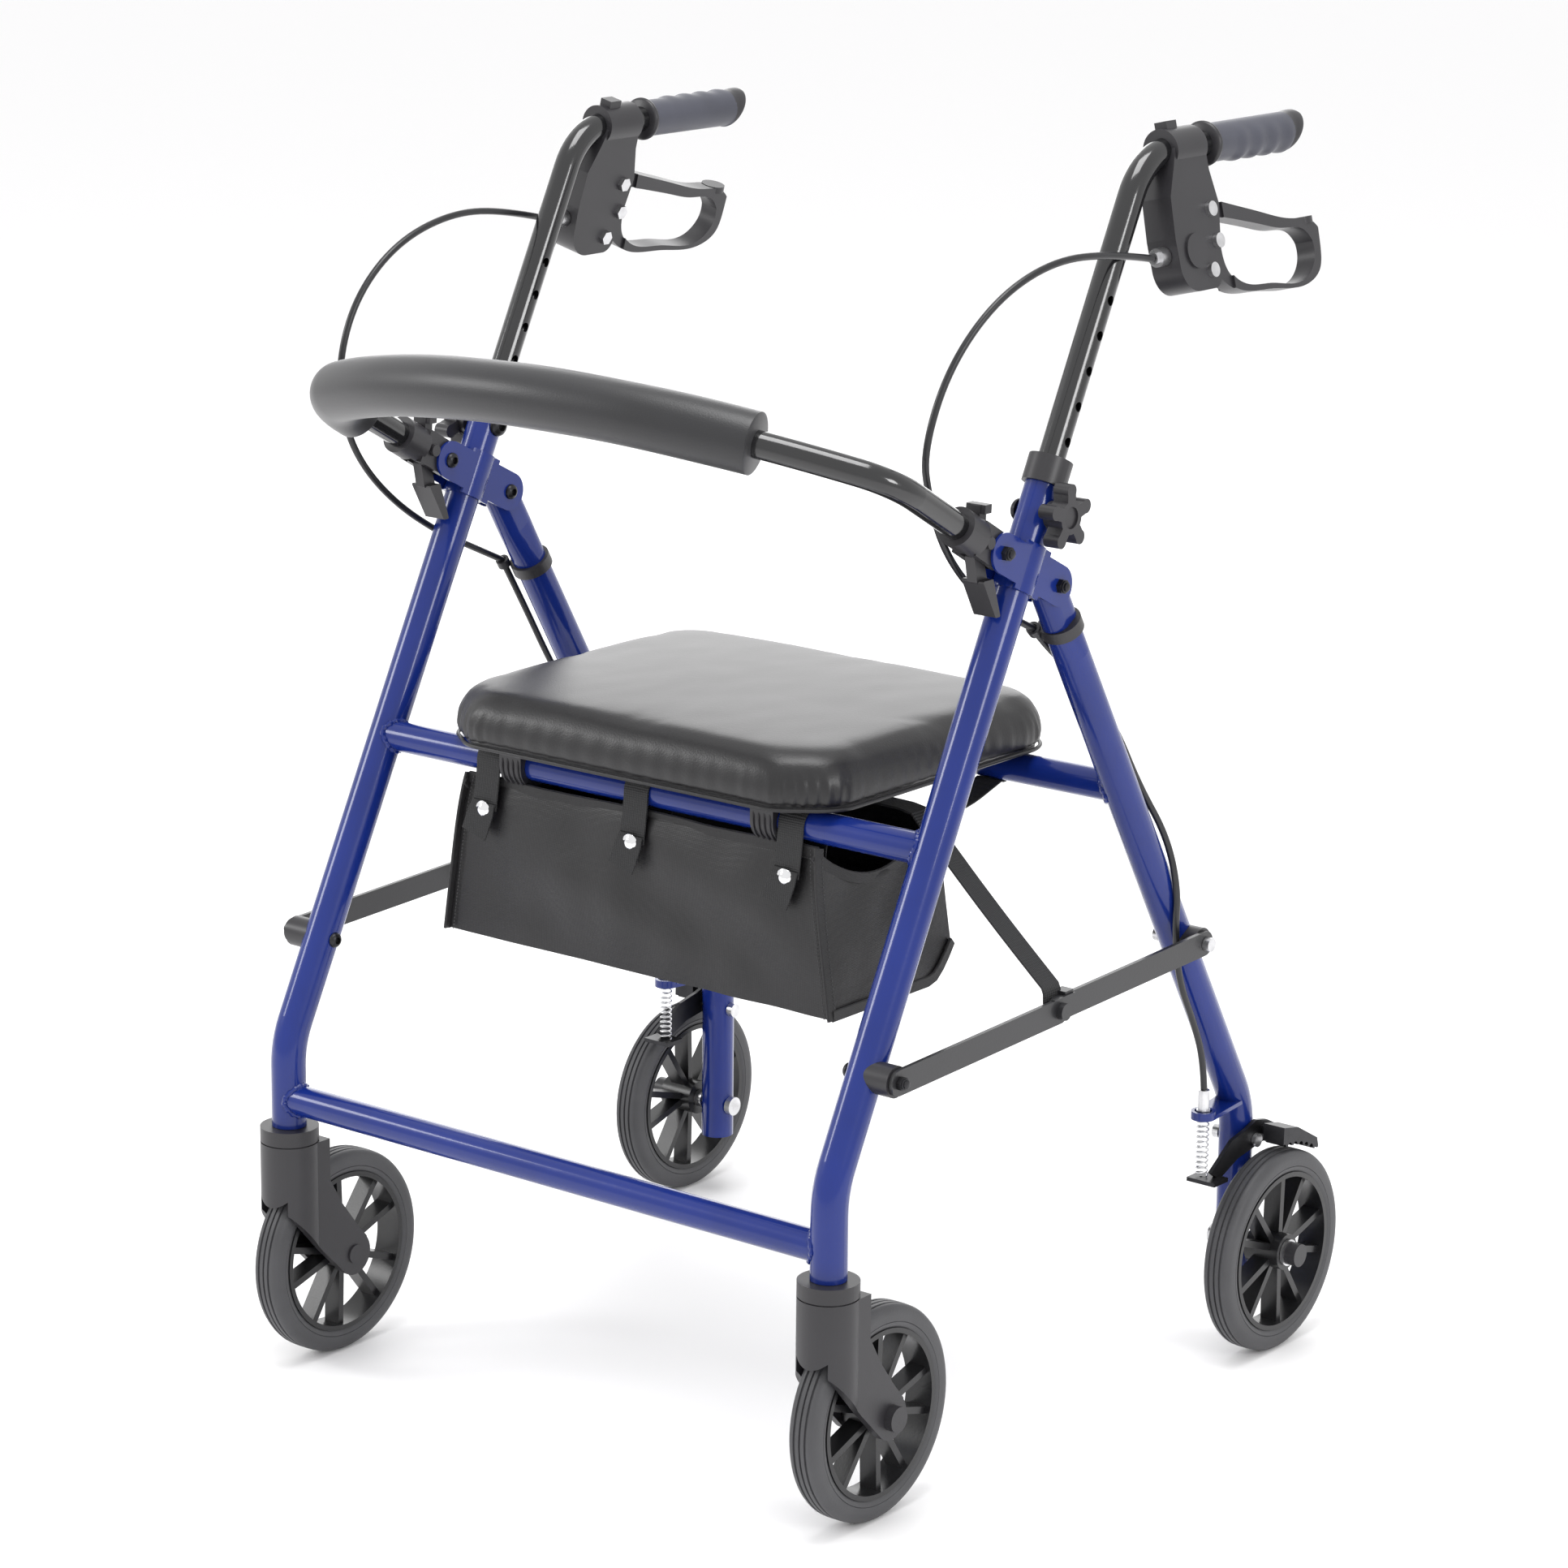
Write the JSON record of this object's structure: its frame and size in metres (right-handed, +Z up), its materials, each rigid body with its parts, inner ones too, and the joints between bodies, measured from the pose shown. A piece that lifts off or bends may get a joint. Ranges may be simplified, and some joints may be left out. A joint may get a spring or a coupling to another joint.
{
  "type": "rollator walker",
  "caption": "Folding walking frame on wheels with padded seat, loop backrest, under-seat pouch, height-adjustable handles and hand-lever brakes.",
  "frame": {"origin": "on the floor under the middle of the walker's wheelbase and width", "axes": "+Z up, -Y the way it rolls (casters and backrest), +Y towards the user, +X the user's left"},
  "size_m": [0.6154, 0.5974, 0.9186],
  "materials": {
    "frame_paint": "gloss royal blue",
    "black_tube": "gloss black",
    "black_link": "satin black",
    "black_plastic": "satin dark grey",
    "wheel_plastic": "semi-gloss black",
    "tyre_rubber": "soft grey-black",
    "grip_rubber": "soft blue-black",
    "foam": "satin foam sleeve",
    "vinyl": "padded black vinyl",
    "pouch_cloth": "woven coated cloth",
    "webbing": "woven webbing",
    "cable_sleeve": "black cable sleeve",
    "zinc": "zinc plated",
    "chrome_steel": "bright",
    "black_bolt": "blackened",
    "board": "black board"
  },
  "bodies": {
    "front_frame": {"front_leg_left": "frame_paint", "front_leg_right": "frame_paint", "front_lower_tube": "frame_paint", "front_seat_tube": "frame_paint", "hinge_brackets": "frame_paint", "leg_collars": "black_plastic", "frame_bolts": "black_bolt", "brace_spacers_front": "black_plastic", "pouch": "pouch_cloth", "pouch_straps": "webbing", "pouch_snaps": "chrome_steel", "upper_cables": "cable_sleeve", "fold_strap": "webbing"},
    "rear_frame": {"rear_leg_left": "frame_paint", "rear_leg_right": "frame_paint", "rear_seat_tube": "frame_paint", "brake_cable_tabs": "frame_paint", "cable_ferrules": "zinc", "cable_clips": "black_plastic", "lower_cables": "cable_sleeve", "brake_springs": "zinc", "rear_axles_and_bolts": "zinc", "rear_axle_caps": "black_plastic", "brace_spacers_rear": "black_plastic"},
    "seat": {"seat_board": "board", "seat_cushion": "vinyl", "seat_saddles": "black_plastic"},
    "backrest": {"backrest_tube": "black_tube", "backrest_pad": "foam", "backrest_sockets": "black_plastic"},
    "handle_left": {"handle_tube_left": "black_tube", "grip_left": "grip_rubber", "brake_housing_left": "black_plastic", "brake_hardware_left": "zinc"},
    "brake_lever_left": {"brake_lever_left": "black_plastic"},
    "brake_arm_left": {"brake_arm_left": "black_link"},
    "caster_left": {"caster_fork_left": "black_plastic"},
    "front_wheel_left": {"tyre_front_left": "tyre_rubber", "rim_front_left": "wheel_plastic"},
    "rear_wheel_left": {"tyre_rear_left": "tyre_rubber", "rim_rear_left": "wheel_plastic"},
    "star_knob_left": {"star_knob_left": "black_plastic"},
    "brace_front_left": {"brace_front_left": "black_link"},
    "brace_rear_left": {"brace_rear_left": "black_link"},
    "release_lever_left": {"release_lever_left": "black_plastic"},
    "handle_right": {"handle_tube_right": "black_tube", "grip_right": "grip_rubber", "brake_housing_right": "black_plastic", "brake_hardware_right": "zinc"},
    "brake_lever_right": {"brake_lever_right": "black_plastic"},
    "brake_arm_right": {"brake_arm_right": "black_link"},
    "caster_right": {"caster_fork_right": "black_plastic"},
    "front_wheel_right": {"tyre_front_right": "tyre_rubber", "rim_front_right": "wheel_plastic"},
    "rear_wheel_right": {"tyre_rear_right": "tyre_rubber", "rim_rear_right": "wheel_plastic"},
    "star_knob_right": {"star_knob_right": "black_plastic"},
    "brace_front_right": {"brace_front_right": "black_link"},
    "brace_rear_right": {"brace_rear_right": "black_link"},
    "release_lever_right": {"release_lever_right": "black_plastic"}
  },
  "joints": [
    {"name": "fold", "type": "hinge", "parent": "front_frame", "child": "rear_frame", "pos_m": [0, -0.03921, 0.61769], "axis": [-1, 0, 0], "range_deg": [0, 30], "deforming": ["pouch", "pouch_straps", "pouch_snaps", "fold_strap", "upper_cables"]},
    {"name": "seat_flip", "type": "hinge", "parent": "front_frame", "child": "seat", "pos_m": [0, -0.1622, 0.4556], "axis": [1, 0, 0], "range_deg": [0, 90], "deforming": ["pouch", "pouch_straps", "pouch_snaps"]},
    {"name": "backrest_flip", "type": "hinge", "parent": "front_frame", "child": "backrest", "pos_m": [0, -0.10336, 0.65038], "axis": [-1, 0, 0], "range_deg": [0, 80], "deforming": ["upper_cables"]},
    {"name": "handle_height_left", "type": "slide", "parent": "front_frame", "child": "handle_left", "axis": [0, 0.454, 0.891], "range_m": [-0.127, 0.0254], "deforming": ["upper_cables"]},
    {"name": "brake_lever_left", "type": "hinge", "parent": "handle_left", "child": "brake_lever_left", "pos_m": [0.25834, 0.1125, 0.85553], "axis": [0.9703, 0, 0.2419], "range_deg": [0, 15], "stiffness_Nm_per_rad": 1},
    {"name": "brake_arm_left", "type": "hinge", "parent": "rear_frame", "child": "brake_arm_left", "pos_m": [0.2629, 0.2225, 0.157], "axis": [-1, 0, 0], "range_deg": [0, 5], "deforming": ["brake_springs"]},
    {"name": "caster_swivel_left", "type": "hinge", "parent": "front_frame", "child": "caster_left", "pos_m": [0.2475, -0.269, 0.184], "axis": [0, 0, 1], "continuous": true},
    {"name": "front_wheel_left", "type": "hinge", "parent": "caster_left", "child": "front_wheel_left", "pos_m": [0.2475, -0.2225, 0.0762], "axis": [1, 0, 0], "continuous": true},
    {"name": "rear_wheel_left", "type": "hinge", "parent": "rear_frame", "child": "rear_wheel_left", "pos_m": [0.2817, 0.2225, 0.0762], "axis": [1, 0, 0], "continuous": true},
    {"name": "star_knob_left", "type": "hinge", "parent": "front_frame", "child": "star_knob_left", "pos_m": [0.27, -0.05344, 0.66905], "axis": [1, 0, 0], "continuous": true},
    {"name": "brace_front_left", "type": "hinge", "parent": "front_frame", "child": "brace_front_left", "pos_m": [0.2754, -0.23262, 0.3174], "axis": [1, 0, 0], "range_deg": [0, 44.43]},
    {"name": "brace_rear_left", "type": "hinge", "parent": "rear_frame", "child": "brace_rear_left", "pos_m": [0.2718, 0.13383, 0.3297], "axis": [-1, 0, 0], "range_deg": [0, 38.55]},
    {"name": "release_lever_left", "type": "hinge", "parent": "backrest", "child": "release_lever_left", "pos_m": [0.2475, -0.12007, 0.65983], "axis": [-1, 0, 0], "range_deg": [0, 12], "stiffness_Nm_per_rad": 0.3},
    {"name": "handle_height_right", "type": "slide", "parent": "front_frame", "child": "handle_right", "axis": [0, 0.454, 0.891], "range_m": [-0.1016, 0.0508], "deforming": ["upper_cables"]},
    {"name": "brake_lever_right", "type": "hinge", "parent": "handle_right", "child": "brake_lever_right", "pos_m": [-0.25834, 0.10097, 0.8329], "axis": [0.9703, 0, -0.2419], "range_deg": [0, 15], "stiffness_Nm_per_rad": 1},
    {"name": "brake_arm_right", "type": "hinge", "parent": "rear_frame", "child": "brake_arm_right", "pos_m": [-0.2629, 0.2225, 0.157], "axis": [-1, 0, 0], "range_deg": [0, 5], "deforming": ["brake_springs"]},
    {"name": "caster_swivel_right", "type": "hinge", "parent": "front_frame", "child": "caster_right", "pos_m": [-0.2475, -0.269, 0.184], "axis": [0, 0, 1], "continuous": true},
    {"name": "front_wheel_right", "type": "hinge", "parent": "caster_right", "child": "front_wheel_right", "pos_m": [-0.2475, -0.2225, 0.0762], "axis": [1, 0, 0], "continuous": true},
    {"name": "rear_wheel_right", "type": "hinge", "parent": "rear_frame", "child": "rear_wheel_right", "pos_m": [-0.2817, 0.2225, 0.0762], "axis": [1, 0, 0], "continuous": true},
    {"name": "star_knob_right", "type": "hinge", "parent": "front_frame", "child": "star_knob_right", "pos_m": [-0.27, -0.05344, 0.66905], "axis": [-1, 0, 0], "continuous": true},
    {"name": "brace_front_right", "type": "hinge", "parent": "front_frame", "child": "brace_front_right", "pos_m": [-0.2754, -0.23262, 0.3174], "axis": [1, 0, 0], "range_deg": [0, 44.43]},
    {"name": "brace_rear_right", "type": "hinge", "parent": "rear_frame", "child": "brace_rear_right", "pos_m": [-0.2718, 0.13383, 0.3297], "axis": [-1, 0, 0], "range_deg": [0, 38.55]},
    {"name": "release_lever_right", "type": "hinge", "parent": "backrest", "child": "release_lever_right", "pos_m": [-0.2475, -0.12007, 0.65983], "axis": [-1, 0, 0], "range_deg": [0, 12], "stiffness_Nm_per_rad": 0.3}
  ],
  "couplings": [
    {"joint": "brake_arm_left", "follows": "brake_lever_left", "ratio": 0.33},
    {"joint": "brace_front_left", "follows": "fold", "ratio": 1.4809},
    {"joint": "brace_rear_left", "follows": "fold", "ratio": 1.2849},
    {"joint": "brake_arm_right", "follows": "brake_lever_right", "ratio": 0.33},
    {"joint": "brace_front_right", "follows": "fold", "ratio": 1.4809},
    {"joint": "brace_rear_right", "follows": "fold", "ratio": 1.2849}
  ]
}
